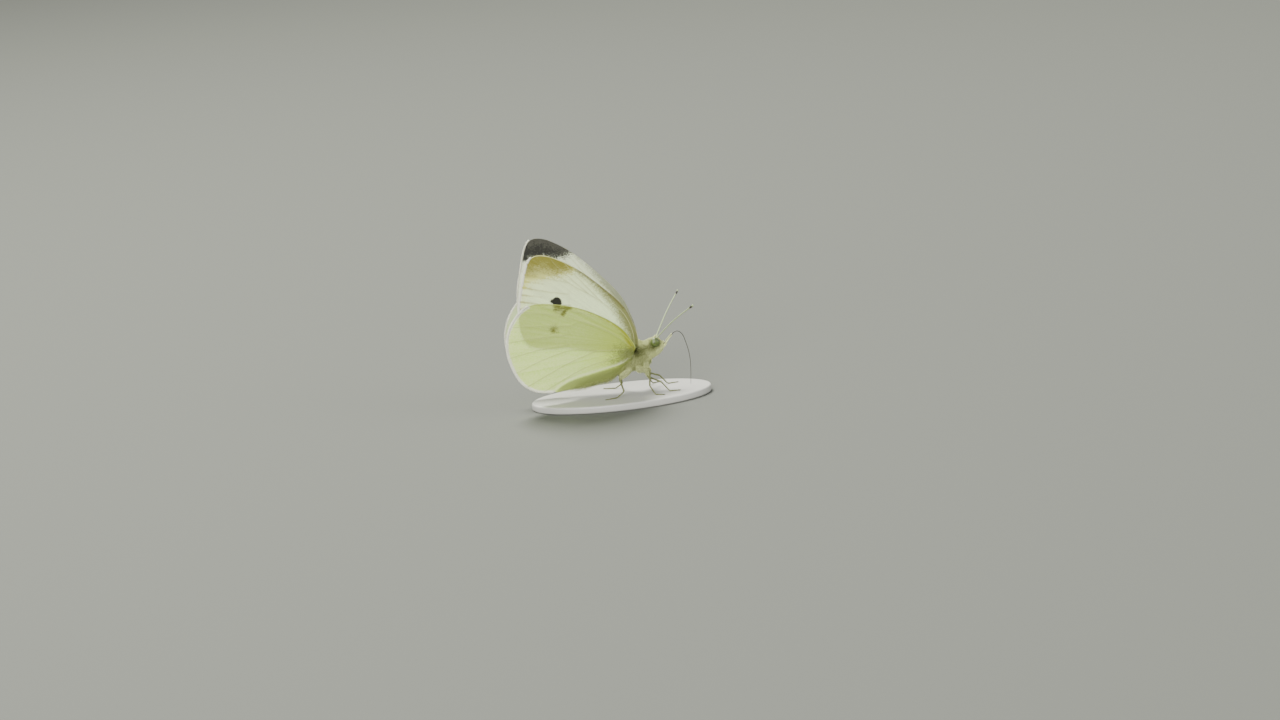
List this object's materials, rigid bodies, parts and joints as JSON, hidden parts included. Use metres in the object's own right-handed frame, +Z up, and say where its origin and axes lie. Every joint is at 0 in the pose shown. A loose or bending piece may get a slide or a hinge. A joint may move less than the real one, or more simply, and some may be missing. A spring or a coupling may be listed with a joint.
{
  "type": "white butterfly figure",
  "caption": "Life-size small white butterfly at rest with half-closed upright wings, legs spread and proboscis down, on a thin oval display plate.",
  "frame": {"origin": "under the middle of the model's bounding box, on the surface that the display plate stands on", "axes": "+Z up, +X the way the head points, +Y the butterfly's left"},
  "size_m": [0.0332, 0.017, 0.0274],
  "materials": {
    "wing": "matt, translucent, fine scales",
    "body": "matt, hairy",
    "eye": "smooth, faceted",
    "feeler": "satin",
    "club": "matt",
    "proboscis": "satin",
    "leg": "satin",
    "plate": "satin"
  },
  "bodies": {
    "root": {"abdomen": "body", "antenna_club_left": "club", "antenna_club_right": "club", "antenna_left": "feeler", "antenna_right": "feeler", "eye_left": "eye", "eye_right": "eye", "forewing_left": "wing", "forewing_right": "wing", "head": "body", "hindwing_left": "wing", "hindwing_right": "wing", "leg_front_left_femur": "leg", "leg_front_left_foot": "leg", "leg_front_left_tibia": "leg", "leg_front_right_femur": "leg", "leg_front_right_foot": "leg", "leg_front_right_tibia": "leg", "leg_hind_left_femur": "leg", "leg_hind_left_foot": "leg", "leg_hind_left_tibia": "leg", "leg_hind_right_femur": "leg", "leg_hind_right_foot": "leg", "leg_hind_right_tibia": "leg", "leg_middle_left_femur": "leg", "leg_middle_left_foot": "leg", "leg_middle_left_tibia": "leg", "leg_middle_right_femur": "leg", "leg_middle_right_foot": "leg", "leg_middle_right_tibia": "leg", "palp_left": "body", "palp_right": "body", "proboscis_arch": "proboscis", "proboscis_base": "proboscis", "proboscis_tip": "proboscis", "stand_plate": "plate", "thorax": "body"}
  },
  "joints": []
}
